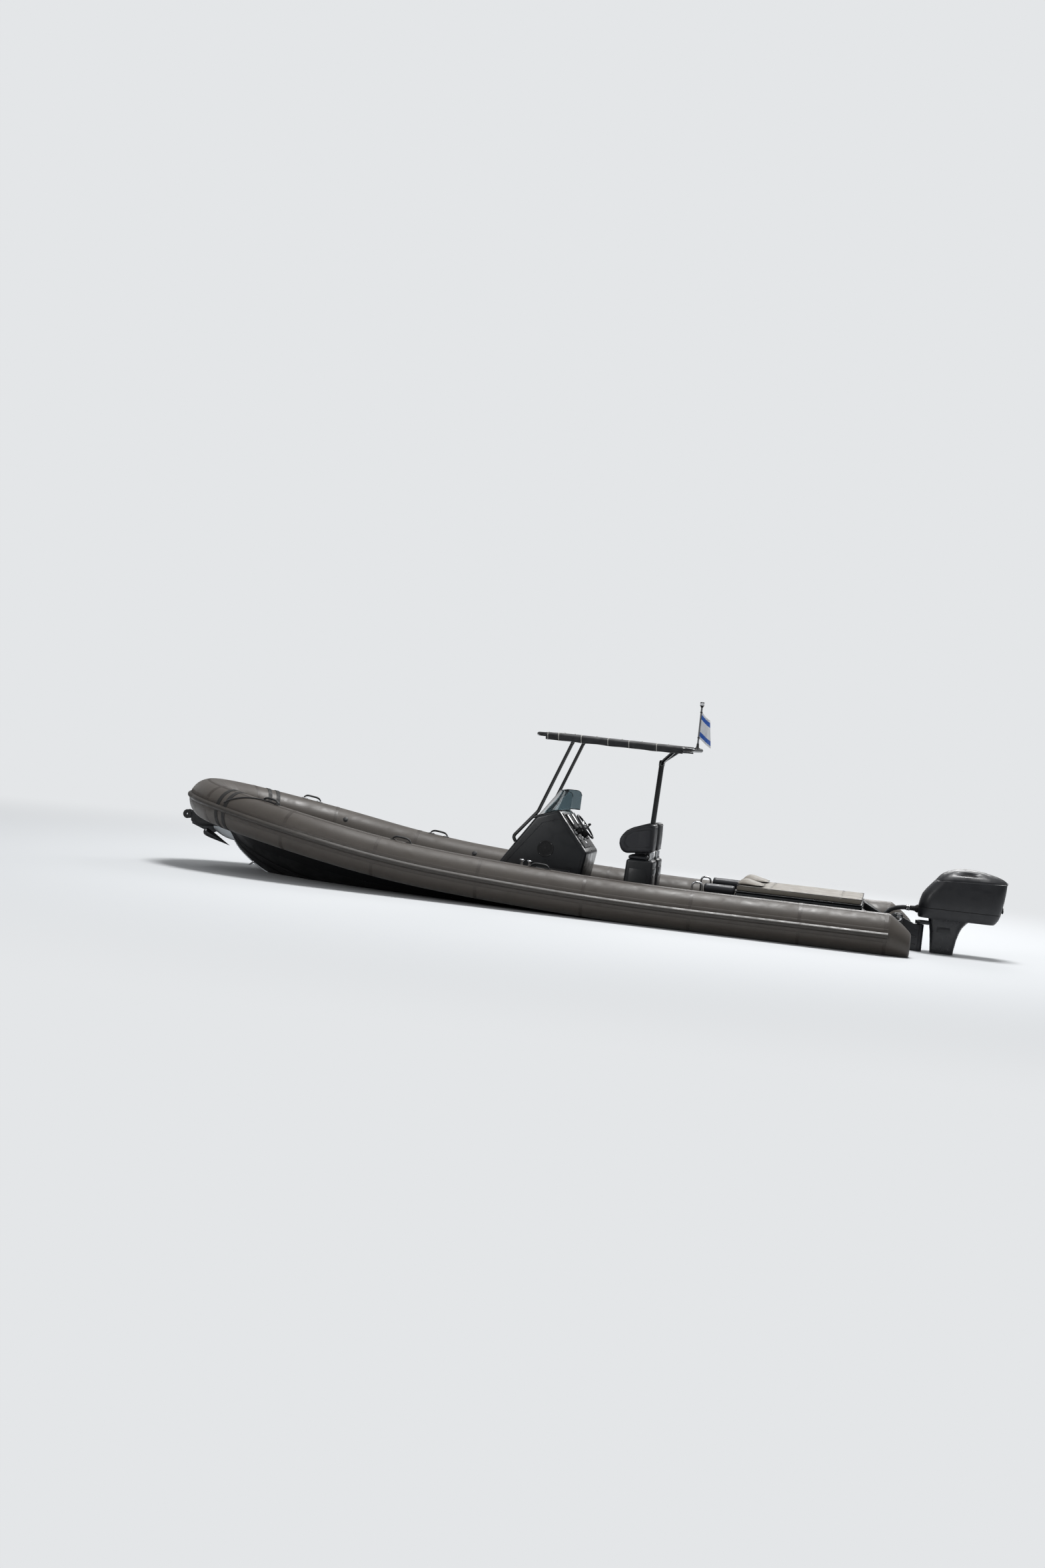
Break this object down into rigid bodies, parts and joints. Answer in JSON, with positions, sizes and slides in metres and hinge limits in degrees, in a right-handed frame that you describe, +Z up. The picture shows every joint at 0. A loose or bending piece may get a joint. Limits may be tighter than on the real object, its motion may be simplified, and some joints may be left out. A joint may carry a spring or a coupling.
{
  "type": "rigid inflatable boat",
  "caption": "Rigid inflatable boat: deep V hull in a tube collar, console, canopy frame, helm seats, sunbed and a tilting outboard engine.",
  "frame": {"origin": "on the centreline amidships, at the waterline the boat floats at", "axes": "+X forward towards the bow, +Y to port, +Z up"},
  "size_m": [10.431, 2.9518, 3.689],
  "materials": {
    "tube_fabric": "matt coated fabric",
    "strake_rubber": "satin extruded rubber",
    "gelcoat_black": "gloss gelcoat",
    "deck_grey": "non-slip moulded",
    "console_black": "satin painted moulding",
    "frame_black": "gloss powder coat",
    "stainless": "polished",
    "galvanised": "dark forged",
    "upholstery": "marine vinyl",
    "cushion_grey": "closed foam with seams",
    "canopy_fabric": "woven acrylic",
    "tinted_screen": "tinted acrylic",
    "engine_black": "satin black paint",
    "engine_cast": "painted casting",
    "black_moulding": "moulded",
    "flag_cloth": "woven polyester"
  },
  "bodies": {
    "hull": {"tube_port": "tube_fabric", "tube_starboard": "tube_fabric", "rubbing_strake": "strake_rubber", "bow_bands": "black_moulding", "hull": "gelcoat_black", "cockpit_sole": "deck_grey", "foredeck": "deck_grey", "console": "console_black", "speakers": "black_moulding", "windscreen": "tinted_screen", "instrument_panel": "black_moulding", "throttle": "black_moulding", "canopy_hoop": "frame_black", "canopy_leg_port": "frame_black", "canopy_leg_starboard": "frame_black", "canopy_mast": "frame_black", "canopy_cloth": "canopy_fabric", "light_staff": "frame_black", "flag": "flag_cloth", "seat_box_port": "console_black", "seat_box_starboard": "console_black", "seat_bolster_port": "upholstery", "seat_bolster_starboard": "upholstery", "seat_posts_port": "stainless", "seat_posts_starboard": "stainless", "seat_cushion_port": "upholstery", "seat_cushion_starboard": "upholstery", "sunbed_locker": "console_black", "armrest_roll_port": "upholstery", "armrest_roll_starboard": "upholstery", "grab_hoops": "frame_black", "transom_board": "gelcoat_black", "quarter_coamings": "gelcoat_black", "clamp_bracket": "engine_cast", "rigging_hose": "black_moulding", "nose_moulding": "black_moulding", "roller_bracket": "stainless", "anchor": "galvanised", "tow_eye": "stainless", "grab_handles_port": "black_moulding", "grab_handles_starboard": "black_moulding", "mooring_bollards": "stainless"},
    "steering_wheel": {"steering_wheel": "black_moulding"},
    "engine_bracket": {"swivel_bracket": "engine_cast"},
    "engine": {"cowl_upper": "engine_black", "cowl_lower": "engine_black", "engine_block": "engine_cast", "engine_leg": "engine_cast", "gearcase": "engine_cast"},
    "propeller": {"propeller": "engine_cast"},
    "sunbed_top": {"sunbed_lid": "console_black", "sunbed_cushion": "cushion_grey", "headrests": "cushion_grey"},
    "anchor_hatch": {"anchor_hatch": "deck_grey"},
    "bow_roller": {"anchor_roller": "black_moulding"}
  },
  "joints": [
    {"name": "engine_tilt", "type": "hinge", "parent": "hull", "child": "engine_bracket", "pos_m": [-4.44, 0, 0.385], "axis": [0, 1, 0], "range_deg": [-4, 68], "deforming": ["rigging_hose"]},
    {"name": "engine_steer", "type": "hinge", "parent": "engine_bracket", "child": "engine", "pos_m": [-4.7, 0, 0], "axis": [0, 0, 1], "range_deg": [-32, 32], "deforming": ["rigging_hose"]},
    {"name": "propeller_spin", "type": "hinge", "parent": "engine", "child": "propeller", "pos_m": [-5.225, 0, -0.695], "axis": [1, 0, 0], "continuous": true},
    {"name": "wheel_turn", "type": "hinge", "parent": "hull", "child": "steering_wheel", "pos_m": [-0.47991, 0.25, 1.0575], "axis": [-0.7728, 0, 0.6347], "range_deg": [-640, 640]},
    {"name": "sunbed_lift", "type": "hinge", "parent": "hull", "child": "sunbed_top", "pos_m": [-3.985, 0, 0.5], "axis": [0, -1, 0], "range_deg": [0, 60]},
    {"name": "hatch_lift", "type": "hinge", "parent": "hull", "child": "anchor_hatch", "pos_m": [3.28958, 0, 0.56037], "axis": [0, 1, 0], "range_deg": [0, 95]},
    {"name": "roller_spin", "type": "hinge", "parent": "hull", "child": "bow_roller", "pos_m": [4.68998, 0, 0.62799], "axis": [0, 1, 0], "continuous": true}
  ],
  "couplings": [
    {"joint": "wheel_turn", "follows": "engine_steer", "ratio": -19.7}
  ]
}
